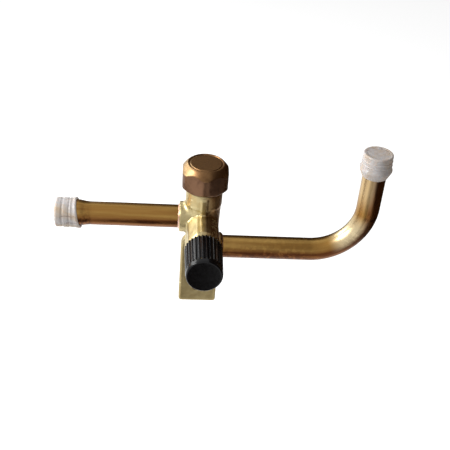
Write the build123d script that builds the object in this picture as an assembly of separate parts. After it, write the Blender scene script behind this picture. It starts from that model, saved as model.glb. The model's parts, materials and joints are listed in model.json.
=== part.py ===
from build123d import *
import math
import os

# Refrigerant service valve: a forged brass body with a screw-down stem, two brazed
# copper tubes, a hexagon cap over the stem and a plastic cap over the service port.
#
# Every piece is modelled about the point where the stem axis (Z) meets the left
# tube axis (X). The service port points along -Y. The last step moves the pieces so
# that the origin lies midway between the two mounting holes, on the back face of
# the mounting tongue. Lengths are millimetres and the valve is shown closed.

# Copper tubes: 3/8 inch refrigeration tube
tube_od = 9.52
tube_wall = 0.8
left_tube_end = 58.3
swage_od = 11.0
swage_id = 9.6
swage_start = 47.0
swage_full = 50.0
right_axis_z = -14.3
upright_x = 67.4
bend_radius = 22.0
upright_top_z = 31.9
socket_depth = 5.0
braze_clearance = 0.04
braze_leg = 0.75

# Forged body
collar_radius = 7.4
collar_bottom_z = 7.3
barrel_top_radius = 7.2
barrel_top_z = 13.0
barrel_low_radius = 6.8
barrel_low_z = -8.0
barrel_bottom_z = -21.0
barrel_bottom_round = 4.0
shoulder_z = 14.2
neck_radius = 6.9
neck_top_z = 22.2
left_boss_radius = 6.3
left_boss_face = 9.6
right_boss_radius = 6.0
right_boss_face = 8.7
boss_draft = 0.1
boss_blend = 2.2
rib_width = 2.4
rib_height = 0.45
passage_radius = 3.9

# Mounting tongue
tongue_width = 16.4
tongue_thickness = 4.0
mounting_face_y = 8.0
tongue_top_z = -13.5
tongue_bottom_z = -47.8
hole_diameter = 5.3
hole_spacing = 12.0
hole_centre_z = -33.0

# Stem and its bores
seat_z = -8.0
seat_radius = 3.0
chamber_radius = 4.0
lower_bore_end_z = -18.2
stem_thread_radius = 4.3
stem_thread_z = (3.0, 9.8)
gland_radius = 4.7
running_gap = 0.06
stem_top_z = 16.2
stem_lift = 4.5
stem_thread_span = (3.2, 7.3)
stem_shank_radius = 2.6
stem_nose_z = (-4.6, -6.1, -7.95, -8.8)
stem_post_radius = 1.8
seal_radius = 3.6
oring_z = (11.7, 14.2)
oring_section = 1.16
groove_width = 1.6
stem_socket_af = 4.0
stem_socket_depth = 3.6
snap_ring_thickness = 0.8

# Hexagon cap
hex_across_flats = 18.1
hex_bottom_z = 14.6
hex_top_z = 25.5
hex_corner_radius = 2.0
hex_crown_radius = 7.3
hex_shoulder = (9.0, 2.0)
hex_corner_drop = 2.6
hex_foot_radius = 8.4
crown_groove = (6.6, 7.0, 0.3)
hex_wall_top = 2.3
washer_thickness = 0.84
washer_gap = 0.08

# Service port along -Y, measured from the stem axis
port_axis_z = -1.4
port_neck_af = 12.6
port_neck_round = 1.6
port_shoulder = 19.6
port_thread_radius = 5.5
port_thread_end = 32.1
port_tip = 33.7
port_tip_radius = 3.5
core_bore_radius = 2.65
core_bore_end = port_tip - 5.6
port_bore_radius = 2.2

# Valve core, depths measured from the port tip back into the bore
bridge_depth = 0.8
bridge_size = (1.6, 4.6, 1.3)
plug_depth = 2.1
plug_length = 2.0
plug_bore = 0.75
barrel_depth = plug_depth + plug_length
core_barrel_radius = 2.1
core_barrel_bore = 1.35
core_barrel_depth = 8.6
core_ledge = 0.9
ledge_bore = 0.6
gasket_depth = (4.8, 5.55, 6.2)
pin_radius = 0.5
pin_depth = (0.3, 10.9)
pin_collar_radius = 1.2
pin_collar_depth = (5.2, 5.7)
cup_radius = 1.9
cup_depth = (9.6, 10.8)
spring_wire_radius = 0.15
spring_coil_radius = 0.95
spring_turns = 4

# Service cap
cap_open_end = 20.7
cap_face = 38.0
cap_radius = 7.45
cap_draft = 0.25
cap_flutes = 30
cap_flute_depth = 0.4
cap_flute_end = 36.0
cap_shoulder_radius = 0.6
cap_wall_end = 2.8

# Dust caps
dust_wall = 0.42
dust_gap = 0.04


def turned(points):
    """Solid of revolution about Z from (radius, height) points."""
    return revolve(Plane.XZ * make_face(Polyline(*points, close=True)), Axis.Z)


def rod(radius, low, high):
    """Round bar along Z between two heights."""
    return Pos(0, 0, low) * Cylinder(radius, high - low, align=(Align.CENTER, Align.CENTER, Align.MIN))


def pipe(outer, inner, low, high):
    """Round tube along Z between two heights."""
    return rod(outer, low, high) - rod(inner, low, high)


def to_left(shape):
    """Turn a piece made along +Z so that it runs along the left tube."""
    return Rot(0, -90, 0) * shape


def to_right(shape):
    """Turn a piece made along +Z so that it runs along the right tube."""
    return Pos(0, 0, right_axis_z) * Rot(0, 90, 0) * shape


def to_front(shape):
    """Turn a piece made along +Z so that it runs along the service port."""
    return Pos(0, 0, port_axis_z) * Rot(90, 0, 0) * shape


# ---- Valve body ----

def barrel():
    """Tapered barrel with a rounded foot."""
    shape = turned([
        (0, barrel_bottom_z),
        (barrel_low_radius, barrel_bottom_z),
        (barrel_low_radius, barrel_low_z),
        (barrel_top_radius, barrel_top_z),
        (0, barrel_top_z),
    ])
    foot = shape.edges().filter_by(GeomType.CIRCLE).sort_by(Axis.Z)[0]
    return fillet(foot, barrel_bottom_round)


def collar_and_neck():
    """Turned collar with a bevelled foot, and the neck that carries the cap thread."""
    return turned([
        (0, collar_bottom_z),
        (barrel_low_radius, collar_bottom_z - 0.6),
        (collar_radius, collar_bottom_z),
        (collar_radius, shoulder_z - 0.4),
        (collar_radius - 0.4, shoulder_z),
        (neck_radius, shoulder_z),
        (neck_radius, neck_top_z - 0.6),
        (neck_radius - 0.6, neck_top_z),
        (0, neck_top_z),
    ])


def boss(radius, face, edge):
    """Tube boss with a little forging draft and a softened face edge."""
    shape = turned([(0, 0), (radius + boss_draft, 0), (radius, face), (0, face)])
    rim = shape.edges().filter_by(GeomType.CIRCLE).sort_by(Axis.Z)[-1]
    return fillet(rim, edge)


def port_outside():
    """Service port: eight-sided forged neck, thread cylinder and 45 degree flare tip."""
    octagon = RegularPolygon(port_neck_af / 2, 8, major_radius=False, rotation=22.5)
    neck = extrude(fillet(octagon.vertices(), port_neck_round), port_shoulder)
    neck = neck & turned([
        (0, 0),
        (port_neck_af, 0),
        (port_neck_af, port_shoulder - 4.0),
        (port_neck_af / 2 + 0.1, port_shoulder - 0.8),
        (port_neck_af / 2 - 0.7, port_shoulder),
        (0, port_shoulder),
    ])
    cone = port_tip - port_thread_end
    thread = turned([
        (0, 0),
        (port_thread_radius, 0),
        (port_thread_radius, port_thread_end),
        (port_tip_radius + cone, port_thread_end),
        (port_tip_radius, port_tip),
        (0, port_tip),
    ])
    return neck + thread


def parting_rib():
    """Trimmed parting rib down the front of the barrel and along the neck."""
    half = rib_width / 2
    front = -(collar_radius + rib_height)
    low_front = -(barrel_top_radius - 0.1 + rib_height)
    neck_top = port_axis_z + port_neck_af / 2 + rib_height
    side = Polyline(
        (0, port_axis_z),
        (-port_shoulder + 1.2, port_axis_z),
        (-port_shoulder + 1.2, neck_top - 0.1),
        (low_front, neck_top),
        (low_front, collar_bottom_z - 1.5),
        (front, collar_bottom_z),
        (front, shoulder_z - 2.0),
        (front + 1.2, shoulder_z - 0.5),
        (0, shoulder_z - 0.5),
        close=True,
    )
    return extrude(Plane.YZ * make_face(side), half, both=True)


def tongue():
    """Flat mounting tongue with round shoulders and softened front edges."""
    height = tongue_top_z - tongue_bottom_z
    middle = (tongue_top_z + tongue_bottom_z) / 2
    outline = Rectangle(tongue_width, height)
    outline = fillet(outline.vertices().group_by(Axis.Y)[-1], 4.5)
    outline = fillet(outline.vertices().group_by(Axis.Y)[0], 1.2)
    plate = extrude(Plane.XZ * outline, -tongue_thickness)
    front = plate.faces().sort_by(Axis.Y)[0]
    plate = fillet(front.edges(), 1.0)
    return Pos(0, mounting_face_y - tongue_thickness, middle) * plate


def mounting_holes():
    """Two plain bolt holes through the tongue, one above the other."""
    holes = [
        Pos(0, mounting_face_y, hole_centre_z + side * hole_spacing / 2)
        * Rot(90, 0, 0) * Cylinder(hole_diameter / 2, 4 * tongue_thickness)
        for side in (-1, 1)
    ]
    return holes[0] + holes[1]


def stem_bores():
    """Bores on the stem axis, from the gland down to the lower gallery."""
    ring_top = stem_top_z + stem_lift + 0.2 + snap_ring_thickness
    ring_groove = rod(gland_radius + 0.5, ring_top - snap_ring_thickness, ring_top)
    bores = turned([
        (0, lower_bore_end_z),
        (seat_radius, lower_bore_end_z),
        (seat_radius, seat_z),
        (chamber_radius, seat_z),
        (chamber_radius, stem_thread_z[0]),
        (stem_thread_radius, stem_thread_z[0]),
        (stem_thread_radius, stem_thread_z[1]),
        (gland_radius, stem_thread_z[1] + 0.3),
        (gland_radius, neck_top_z),
        (0, neck_top_z),
    ])
    return bores + ring_groove


def tube_gallery(face):
    """Tube socket and the passage behind it, to be cut from a boss."""
    stop = face - socket_depth
    return rod(tube_od / 2 + braze_clearance, stop, face) + rod(passage_radius, 0, stop)


def core_bore():
    """Threaded pocket for the valve core, its cone seat and the gallery behind."""
    return turned([
        (0, 0),
        (port_bore_radius, 0),
        (port_bore_radius, core_bore_end - 0.7),
        (core_bore_radius, core_bore_end),
        (core_bore_radius, port_tip),
        (0, port_tip),
    ])


def valve_body():
    """Forged body: outside, blended bosses, then every bore."""
    trunk = barrel()
    left = to_left(boss(left_boss_radius, left_boss_face, 0.25))
    right = to_right(boss(right_boss_radius, right_boss_face, 1.0))
    shape = trunk + left
    shape = fillet(new_edges(trunk, left, combined=shape), boss_blend)
    shape = shape + collar_and_neck() + right + tongue()
    shape = shape + to_front(port_outside()) + parting_rib()
    shape -= stem_bores()
    shape -= to_left(tube_gallery(left_boss_face))
    shape -= to_right(tube_gallery(right_boss_face))
    shape -= to_front(core_bore())
    return shape - mounting_holes()


# ---- Stem, its seals and its retaining ring ----

def valve_stem():
    """Screw-down stem: hexagon socket, two seal grooves, thread, shank and nose."""
    gland = gland_radius - running_gap
    thread = stem_thread_radius - running_gap
    groove = gland_radius - oring_section - 0.04
    low = stem_thread_z[1] + 0.5
    points = [(0, stem_top_z), (gland - 0.4, stem_top_z), (gland, stem_top_z - 0.4)]
    for z in sorted(oring_z, reverse=True):
        points += [(gland, z + groove_width / 2), (groove, z + groove_width / 2)]
        points += [(groove, z - groove_width / 2), (gland, z - groove_width / 2)]
    bottom, top = stem_thread_span
    under, seat_top, seat_low, tip = stem_nose_z
    points += [(gland, low), (3.4, low), (3.4, top + 0.3), (thread, top), (thread, bottom)]
    points += [(stem_shank_radius, bottom - 0.5), (stem_shank_radius, under)]
    points += [(seal_radius, under - 0.3), (seal_radius, seat_top)]
    points += [(stem_post_radius, seat_top), (stem_post_radius, seat_low)]
    points += [(2.4, seat_low), (2.2, tip), (0, tip)]
    socket = RegularPolygon(stem_socket_af / 2, 6, major_radius=False)
    cut = Pos(0, 0, stem_top_z - stem_socket_depth) * extrude(socket, stem_socket_depth)
    return turned(points) - cut


def stem_seat_seal():
    """Seat ring held on the nose of the stem."""
    ring = pipe(seal_radius, stem_post_radius, stem_nose_z[2], stem_nose_z[1])
    return chamfer(ring.edges().group_by(Axis.Z)[0][0], 0.25)


def o_ring(height):
    """Round-section seal in a groove of the stem."""
    major = gland_radius - oring_section / 2 - 0.02
    return Pos(0, 0, height) * Torus(major, oring_section / 2 - 0.01)


def stem_retaining_ring():
    """Internal snap ring with two eyelets, seated in the groove above the stem."""
    base = stem_top_z + stem_lift + 0.2
    outer = gland_radius + 0.47
    ring = Circle(outer) - Circle(outer - 0.95)
    gap = Pos(0, outer) * Rectangle(4.6, 2 * outer)
    shape = ring - gap
    for side in (-1, 1):
        centre = Pos(2.4 * side, 3.4)
        shape = shape + centre * Circle(0.85) - centre * Circle(0.4)
    return Pos(0, 0, base) * extrude(shape, snap_ring_thickness)


# ---- Hexagon cap ----

def stem_cap():
    """Hexagon cap with a domed crown, a coned foot and a turned ring on top."""
    reach = hex_across_flats / math.sqrt(3) + 1
    flats = RegularPolygon(hex_across_flats / 2, 6, major_radius=False, rotation=30)
    flats = fillet(flats.vertices(), hex_corner_radius)
    prism = Pos(0, 0, hex_bottom_z) * extrude(flats, hex_top_z - hex_bottom_z)
    shoulder, drop = hex_shoulder
    envelope = turned([
        (0, hex_bottom_z),
        (hex_foot_radius, hex_bottom_z),
        (reach, hex_bottom_z + reach - hex_foot_radius),
        (reach, hex_top_z - hex_corner_drop),
        (shoulder, hex_top_z - drop),
        (hex_crown_radius + 0.3, hex_top_z - 0.2),
        (hex_crown_radius, hex_top_z),
        (0, hex_top_z),
    ])
    bore = neck_radius + running_gap
    inside = turned([
        (0, hex_bottom_z),
        (bore + 0.7, hex_bottom_z),
        (bore, hex_bottom_z + 0.7),
        (bore, hex_top_z - hex_wall_top),
        (0, hex_top_z - hex_wall_top),
    ])
    inner, outer, depth = crown_groove
    return (prism & envelope) - inside - pipe(outer, inner, hex_top_z - depth, hex_top_z)


def stem_cap_washer():
    """Flat sealing washer between the neck and the roof of the cap."""
    low = neck_top_z + washer_gap
    return pipe(neck_radius - 0.2, 4.4, low, low + washer_thickness)


# ---- Service cap ----

def service_cap():
    """Plastic cap with straight flutes, a round shoulder and a plain face."""
    step = 2 * math.pi / cap_flutes
    root = cap_radius - cap_flute_depth
    outline = []
    for n in range(cap_flutes):
        for part, radius in ((-0.34, root), (-0.14, cap_radius), (0.14, cap_radius), (0.34, root)):
            angle = (n + part) * step
            outline.append((radius * math.cos(angle), radius * math.sin(angle)))
    fluted = Pos(0, 0, cap_open_end) * extrude(
        make_face(Polyline(*outline, close=True)), cap_flute_end - cap_open_end)
    front = cap_radius - cap_draft
    fluted = fluted & turned([
        (0, cap_open_end),
        (cap_radius - 0.5, cap_open_end),
        (cap_radius, cap_open_end + 0.5),
        (front, cap_flute_end),
        (0, cap_flute_end),
    ])
    crown = turned([
        (0, cap_flute_end),
        (front - 0.05, cap_flute_end),
        (front - 0.25, cap_face),
        (0, cap_face),
    ])
    crown = fillet(crown.edges().filter_by(GeomType.CIRCLE).sort_by(Axis.Z)[-1], cap_shoulder_radius)
    bore = port_thread_radius + running_gap
    inside = rod(bore, cap_open_end, cap_face - cap_wall_end)
    return to_front(fluted + crown - inside)


def service_cap_seal():
    """Rubber disc at the bottom of the service cap."""
    high = cap_face - cap_wall_end - washer_gap
    return to_front(rod(port_thread_radius - 0.2, port_tip + washer_gap, high))


# ---- Valve core ----

def core_rod(radius, depths):
    """Round bar on the port axis between two depths from the port tip."""
    shallow, deep = depths
    return rod(radius, port_tip - deep, port_tip - shallow)


def core_plug():
    """Threaded head of the core with its driving bridge."""
    head = core_rod(core_bore_radius - running_gap, (plug_depth, barrel_depth))
    bridge = Pos(0, 0, port_tip - bridge_depth - bridge_size[2] / 2) * Box(*bridge_size)
    return to_front(head + bridge - core_rod(plug_bore, (bridge_depth, barrel_depth)))


def core_barrel():
    """Thin barrel under the plug, with a ledge for the spring at its inner end."""
    end = core_barrel_depth + core_ledge
    tube = core_rod(core_barrel_radius, (barrel_depth, end))
    tube -= core_rod(core_barrel_bore, (barrel_depth, core_barrel_depth))
    return to_front(tube - core_rod(ledge_bore, (core_barrel_depth, end)))


def core_gasket():
    """Conical seal round the barrel, on the cone of the core pocket."""
    outer = core_bore_radius - 0.03
    top, edge, foot = [port_tip - depth for depth in gasket_depth]
    return to_front(turned([
        (core_barrel_radius, top),
        (outer, top),
        (outer, edge),
        (core_barrel_radius + 0.07, foot),
        (core_barrel_radius, foot),
    ]))


def core_pin():
    """Depressor pin with the collar that the spring pushes on."""
    return to_front(core_rod(pin_radius, pin_depth) + core_rod(pin_collar_radius, pin_collar_depth))


def core_cup():
    """Rubber-faced cup that closes the inner end of the barrel."""
    return to_front(core_rod(cup_radius, cup_depth) - core_rod(pin_radius, cup_depth))


def core_spring():
    """Coil spring between the ledge of the barrel and the collar of the pin."""
    low = port_tip - core_barrel_depth + spring_wire_radius
    high = port_tip - pin_collar_depth[1] - spring_wire_radius
    path = Helix(pitch=(high - low) / spring_turns, height=high - low, radius=spring_coil_radius)
    section = Plane(origin=path @ 0, z_dir=path % 0) * Circle(spring_wire_radius)
    return to_front(Pos(0, 0, low) * sweep(section, path))


# ---- Tubes ----

def left_tube():
    """Straight tube with a swaged end."""
    outer = tube_od / 2
    start = left_boss_face - socket_depth
    return to_left(turned([
        (outer - tube_wall, start),
        (outer, start),
        (outer, swage_start),
        (swage_od / 2, swage_full),
        (swage_od / 2, left_tube_end),
        (swage_id / 2, left_tube_end),
        (swage_id / 2, swage_full + 0.3),
        (outer - tube_wall, swage_start + 0.3),
    ]))


def right_tube():
    """Tube with one square bend that ends upright."""
    outer = tube_od / 2
    inner = outer - tube_wall
    start = right_boss_face - socket_depth
    bend_start = upright_x - bend_radius
    level = to_right(pipe(outer, inner, start, bend_start))
    section = Plane.YZ.offset(bend_start) * (Pos(0, right_axis_z) * (Circle(outer) - Circle(inner)))
    pivot = Axis((bend_start, 0, right_axis_z + bend_radius), (0, -1, 0))
    bend = revolve(section, pivot, 90)
    upright = Pos(upright_x, 0, 0) * pipe(outer, inner, right_axis_z + bend_radius, upright_top_z)
    return level + bend + upright


def braze_ring(face):
    """Fillet of braze metal between a boss face and its tube."""
    outer = tube_od / 2
    return turned([(outer, face), (outer + braze_leg, face), (outer + 0.25, face + 0.25), (outer, face + braze_leg)])


# ---- Dust caps ----

def left_dust_cap():
    """Push-on cap over the swaged end, with a skewed open rim."""
    inner = swage_od / 2 + dust_gap
    outer = inner + dust_wall
    roof = left_tube_end + 0.15
    top = roof + 1.0
    rim = top - 10.6
    shell = turned([
        (inner, rim),
        (outer + 0.3, rim),
        (outer + 0.45, rim + 0.9),
        (outer - 0.05, rim + 2.9),
        (outer + 0.1, rim + 4.2),
        (outer - 0.1, rim + 5.2),
        (outer + 0.1, rim + 6.2),
        (outer - 0.1, rim + 7.4),
        (outer, rim + 9.4),
        (outer - 0.9, top),
        (0, top),
        (0, roof),
        (inner, roof),
    ])
    skew = Pos(-rim - 1.1, 0, 0) * Rot(0, -9, 0) * Pos(10, 0, 0) * Box(20, 30, 30)
    return to_left(shell) - skew


def right_dust_cap():
    """Push-on cap with ring ridges, a flared ring and a skirt that hugs the tube."""
    inner = tube_od / 2 + dust_gap
    roof = upright_top_z + 0.15
    top = roof + 1.0
    shell = turned([
        (inner, top - 10.2),
        (inner + 0.35, top - 10.2),
        (6.5, top - 7.2),
        (6.58, top - 6.7),
        (6.15, top - 5.7),
        (6.1, top - 4.6),
        (6.2, top - 4.4),
        (6.05, top - 4.1),
        (6.05, top - 2.9),
        (6.15, top - 2.7),
        (6.0, top - 2.4),
        (5.95, top - 0.5),
        (5.45, top),
        (0, top),
        (0, roof),
        (5.3, roof),
        (5.3, top - 5.6),
        (5.8, top - 7.0),
        (inner, top - 9.4),
    ])
    return Pos(upright_x, 0, 0) * shell


nodes = {
    "valve_body": valve_body(),
    "valve_stem": valve_stem(),
    "stem_seat_seal": stem_seat_seal(),
    "stem_o_ring_lower": o_ring(oring_z[0]),
    "stem_o_ring_upper": o_ring(oring_z[1]),
    "stem_retaining_ring": stem_retaining_ring(),
    "stem_cap": stem_cap(),
    "stem_cap_washer": stem_cap_washer(),
    "service_cap": service_cap(),
    "service_cap_seal": service_cap_seal(),
    "core_plug": core_plug(),
    "core_barrel": core_barrel(),
    "core_gasket": core_gasket(),
    "core_pin": core_pin(),
    "core_cup": core_cup(),
    "core_spring": core_spring(),
    "left_tube": left_tube(),
    "right_tube": right_tube(),
    "left_braze_ring": to_left(braze_ring(left_boss_face)),
    "right_braze_ring": to_right(braze_ring(right_boss_face)),
    "left_dust_cap": left_dust_cap(),
    "right_dust_cap": right_dust_cap(),
}

to_origin = Pos(0, -mounting_face_y, -hole_centre_z)

os.makedirs("parts", exist_ok=True)
for name, shape in nodes.items():
    export_step(to_origin * shape, f"parts/{name}.step")
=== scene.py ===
# %% [markdown]
# # A refrigerant service valve
# This valve sits on the outdoor unit of an air conditioner. A fitter shuts it with a
# hexagon key under the big hexagon cap, and reads the pressure at the small port that
# the black cap covers. Its solid parts come from CAD and are loaded first. They set
# every size and place, so the finer pieces made here are fitted to them.

# %% Load the solid parts
import bpy
import bmesh
import json
import math
from mathutils import Matrix, Vector, noise


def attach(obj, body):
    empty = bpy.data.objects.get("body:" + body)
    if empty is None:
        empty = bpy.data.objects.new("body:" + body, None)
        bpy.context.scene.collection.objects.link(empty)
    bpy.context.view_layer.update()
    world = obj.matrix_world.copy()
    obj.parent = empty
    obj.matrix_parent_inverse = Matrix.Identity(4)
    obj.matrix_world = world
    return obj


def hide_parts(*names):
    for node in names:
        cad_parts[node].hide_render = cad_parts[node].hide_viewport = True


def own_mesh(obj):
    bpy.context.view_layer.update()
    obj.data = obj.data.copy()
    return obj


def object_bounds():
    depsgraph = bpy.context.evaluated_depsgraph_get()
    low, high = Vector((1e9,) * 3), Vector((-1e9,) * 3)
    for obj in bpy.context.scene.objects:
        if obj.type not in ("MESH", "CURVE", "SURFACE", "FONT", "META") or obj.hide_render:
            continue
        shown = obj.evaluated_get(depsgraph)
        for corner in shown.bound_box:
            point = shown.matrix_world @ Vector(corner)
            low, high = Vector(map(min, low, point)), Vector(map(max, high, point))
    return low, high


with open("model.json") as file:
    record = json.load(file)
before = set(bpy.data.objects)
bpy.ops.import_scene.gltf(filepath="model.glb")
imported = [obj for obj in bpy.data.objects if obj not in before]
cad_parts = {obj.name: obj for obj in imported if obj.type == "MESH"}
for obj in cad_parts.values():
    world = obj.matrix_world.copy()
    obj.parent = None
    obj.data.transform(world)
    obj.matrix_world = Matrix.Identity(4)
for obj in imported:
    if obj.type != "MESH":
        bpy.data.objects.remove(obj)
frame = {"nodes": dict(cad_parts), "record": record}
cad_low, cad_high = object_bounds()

MM = 0.001
TURN = 2 * math.pi
QUARTER = math.pi / 2
nodes = frame["nodes"]
scene = bpy.context.scene
box = [round(v / MM, 1) for v in (*cad_low, *cad_high)]
print("solid parts:", len(nodes), "box in mm:", box)

# %% [markdown]
# ## Camera
# The valve is seen from the front, a little from the left and well from above, with a
# long lens, so that it looks nearly flat. The camera is aimed at a point beside the
# stem and rolled slightly, the way a hand-held camera is. Its matrix is built from
# three directions, which keeps roll apart from the aim.

# %% Camera
AIM = Vector((9.4, -8.0, 29.38)) * MM
AZIMUTH = math.radians(-5.17)
ELEVATION = math.radians(34.08)
ROLL = math.radians(4.92)
DISTANCE = 334.6 * MM
LENS = 64.96


def make_camera():
    data = bpy.data.cameras.new("camera")
    data.lens = LENS
    data.sensor_width = 36.0
    data.clip_start = 0.01
    camera = bpy.data.objects.new("camera", data)
    scene.collection.objects.link(camera)
    back = Vector((
        math.sin(AZIMUTH) * math.cos(ELEVATION),
        -math.cos(AZIMUTH) * math.cos(ELEVATION),
        math.sin(ELEVATION),
    ))
    right = Vector((0, 0, 1)).cross(back).normalized()
    up = back.cross(right)
    side = right * math.cos(ROLL) + up * math.sin(ROLL)
    top = up * math.cos(ROLL) - right * math.sin(ROLL)
    turn = Matrix((side, top, back)).transposed().to_4x4()
    camera.matrix_world = Matrix.Translation(AIM + back * DISTANCE) @ turn
    return camera


scene.camera = make_camera()
print("camera at, mm:", [round(v / MM) for v in scene.camera.matrix_world.translation])

# %% [markdown]
# ## A small helper for shader nodes
# A material is a tree of nodes with links between their sockets. Written out, each node
# takes three or four lines, so one helper makes a node, sets it and links its inputs.

# %% Node helper
def feed(tree, socket, value):
    """Give a socket a plain value, or link it to the socket that feeds it."""
    if isinstance(value, bpy.types.NodeSocket):
        tree.links.new(value, socket)
    else:
        socket.default_value = value


def node(tree, kind, inputs=None, **settings):
    """Add a shader node. An input is either a plain value or the socket that feeds it."""
    made = tree.nodes.new("ShaderNode" + kind)
    for name, value in settings.items():
        setattr(made, name, value)
    for name, value in (inputs or {}).items():
        feed(tree, made.inputs[name], value)
    return made


def math_node(tree, operation, a, b=0.5):
    """A Math node with its two inputs and its one output."""
    return node(tree, "Math", {0: a, 1: b}, operation=operation).outputs[0]


def times(tree, a, b):
    return math_node(tree, "MULTIPLY", a, b)


def remap(tree, value, from_low, from_high, low, high):
    """Smoothly map a range of values onto another."""
    return node(tree, "MapRange", {
        "Value": value, "From Min": from_low, "From Max": from_high,
        "To Min": low, "To Max": high}, interpolation_type="SMOOTHSTEP").outputs[0]


def squeezed(tree, vector, factors):
    """A vector scaled on each axis, to draw a pattern out."""
    return node(tree, "VectorMath", {0: vector, 1: factors}, operation="MULTIPLY").outputs[0]


def seen_directly(tree):
    """1 for rays from the camera, a reflection or clear plastic, 0 for soft light."""
    path = node(tree, "LightPath").outputs
    seen = math_node(tree, "MAXIMUM", path["Is Camera Ray"], path["Is Glossy Ray"])
    return math_node(tree, "MAXIMUM", seen, path["Is Transmission Ray"])


# %% [markdown]
# ## World and light
# Plain soft light: a pale world all round, and one broad lamp up on the left. Brass is a
# mirror that is slightly blurred, so it looks like whatever stands round it. In a plain
# white room it would look flat, so dark cards stand to the right, behind and low in
# front, where only reflections see them, as a photographer places black flags. A second
# lamp behind on the left draws the thin bright lines on glossy ridges.

# %% World
AMBIENT = 0.31


def make_world():
    world = bpy.data.worlds.new("studio")
    scene.world = world
    world.use_nodes = True
    tree = world.node_tree
    tree.nodes.clear()
    seen = seen_directly(tree)
    strength = node(tree, "MapRange", {"Value": seen, "To Min": AMBIENT, "To Max": 1.0})
    background = node(
        tree, "Background", {"Color": (1, 1, 1, 1), "Strength": strength.outputs[0]})
    node(tree, "OutputWorld", {"Surface": background.outputs[0]})


make_world()
scene.view_settings.view_transform = "Standard"

# %% Lamps
# metres from the aim point, width in metres, watts
LAMPS = {
    "key lamp": ((-0.56, -0.10, 0.36), 0.24, 4.8),
    "window lamp": ((-0.46, 0.40, 0.24), 0.30, 1.2),
}


def disk_lamp(name, from_aim, size, power):
    data = bpy.data.lights.new(name, "AREA")
    data.shape = "DISK"
    data.size = size
    data.energy = power
    lamp = bpy.data.objects.new(name, data)
    scene.collection.objects.link(lamp)
    lamp.location = AIM + Vector(from_aim)
    lamp.rotation_euler = (AIM - lamp.location).to_track_quat("-Z", "Y").to_euler()


for name, (from_aim, size, power) in LAMPS.items():
    disk_lamp(name, from_aim, size, power)

# %% [markdown]
# ## Floor and flags
# The floor lies a little below the valve and takes its soft shadow. Seen directly or in
# a reflection it is brightened by its own faint glow, so it comes out white. The flags
# are plain dark cards that the camera, the shadows and the soft light all ignore.

# %% Floor
FLOOR_DROP = 0.12
FLOOR_GLOW = 0.56
FLOOR_SIZE = 6


def card(name, width, height, centre, tilt, material):
    """A flat rectangle, marked as scenery."""
    bm = bmesh.new()
    bmesh.ops.create_grid(bm, x_segments=1, y_segments=1, size=0.5)
    bmesh.ops.scale(bm, vec=(width, height, 1), verts=bm.verts)
    bmesh.ops.transform(bm, matrix=Matrix.Translation(centre) @ tilt, verts=bm.verts)
    mesh = bpy.data.meshes.new(name)
    bm.to_mesh(mesh)
    bm.free()
    made = bpy.data.objects.new(name, mesh)
    scene.collection.objects.link(made)
    mesh.materials.append(material)
    return made


def floor_material():
    material = bpy.data.materials.new("floor_paper")
    material.use_nodes = True
    tree = material.node_tree
    tree.nodes.clear()
    paper = node(tree, "BsdfDiffuse", {"Color": (0.92, 0.92, 0.92, 1)})
    strength = times(tree, seen_directly(tree), FLOOR_GLOW)
    light = node(tree, "Emission", {"Strength": strength})
    both = node(tree, "AddShader", {0: paper.outputs[0], 1: light.outputs[0]})
    node(tree, "OutputMaterial", {"Surface": both.outputs[0]})
    return material


floor_z = cad_low.z - FLOOR_DROP
card("floor", FLOOR_SIZE, FLOOR_SIZE, (0, 0, floor_z), Matrix.Identity(4), floor_material())

# %% Flags
FLAG_COLOUR = (0.05, 0.028, 0.014, 1)


def flag_material():
    material = bpy.data.materials.new("black_card")
    material.use_nodes = True
    shader = material.node_tree.nodes["Principled BSDF"]
    shader.inputs["Base Color"].default_value = FLAG_COLOUR
    shader.inputs["Roughness"].default_value = 1.0
    shader.inputs["Specular IOR Level"].default_value = 0.0
    return material


black_card = flag_material()
# width, height, centre in metres, and how the card is turned
flags = {
    "right_flag": (0.8, 1.1, (0.18, 0.1, 0.12), Matrix.Rotation(QUARTER, 4, "Y")),
    "back_flag": (0.44, 0.5, (0.14, 0.34, 0.12), Matrix.Rotation(QUARTER, 4, "X")),
    "low_flag": (0.09, 0.28, (-0.02, -0.225, -0.10), Matrix.Identity(4)),
}
for name, (width, height, centre, tilt) in flags.items():
    flag = card(name, width, height, centre, tilt, black_card)
    flag.visible_camera = False
    flag.visible_shadow = False
    flag.visible_diffuse = False

# %% [markdown]
# ## How the pieces are made
# Nearly everything here was turned, drawn or pressed, so most pieces start as a profile
# that is spun about the Z axis. The profile is one flat face. A vertex bevel rounds its
# corners, long edges are divided where the surface is shaped later, and the face is
# dropped before the spin, so that only its outline sweeps round.

# %% Point helpers
def off_axis(point):
    """A point's offset from the Z axis."""
    return Vector((point.x, point.y, 0))


def scale_off_axis(point, factor):
    """Move a point nearer to the Z axis or away from it."""
    point.x *= factor
    point.y *= factor


# %% Profile and spin
CORNER_SEGMENTS = 5
MERGE = 1e-6


def profile(points, finest=None):
    """Outline in the X-Z plane from (radius, height, corner rounding), in millimetres."""
    bm = bmesh.new()
    corners = [bm.verts.new((x * MM, 0, z * MM)) for x, z, size in points]
    face = bm.faces.new(corners)
    for corner, (x, z, size) in zip(corners, points):
        if size:
            bmesh.ops.bevel(
                bm, geom=[corner], offset=size * MM, affect="VERTICES",
                segments=CORNER_SEGMENTS, profile=0.5, material=-1)
    if finest:
        for edge in list(bm.edges):
            cuts = int(edge.calc_length() / (finest * MM))
            if cuts:
                bmesh.ops.subdivide_edges(bm, edges=[edge], cuts=cuts)
    bmesh.ops.delete(bm, geom=bm.faces[:], context="FACES_ONLY")
    axis_edges = [e for e in bm.edges if all(abs(v.co.x) < 1e-7 for v in e.verts)]
    bmesh.ops.delete(bm, geom=axis_edges, context="EDGES")
    return bm


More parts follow.
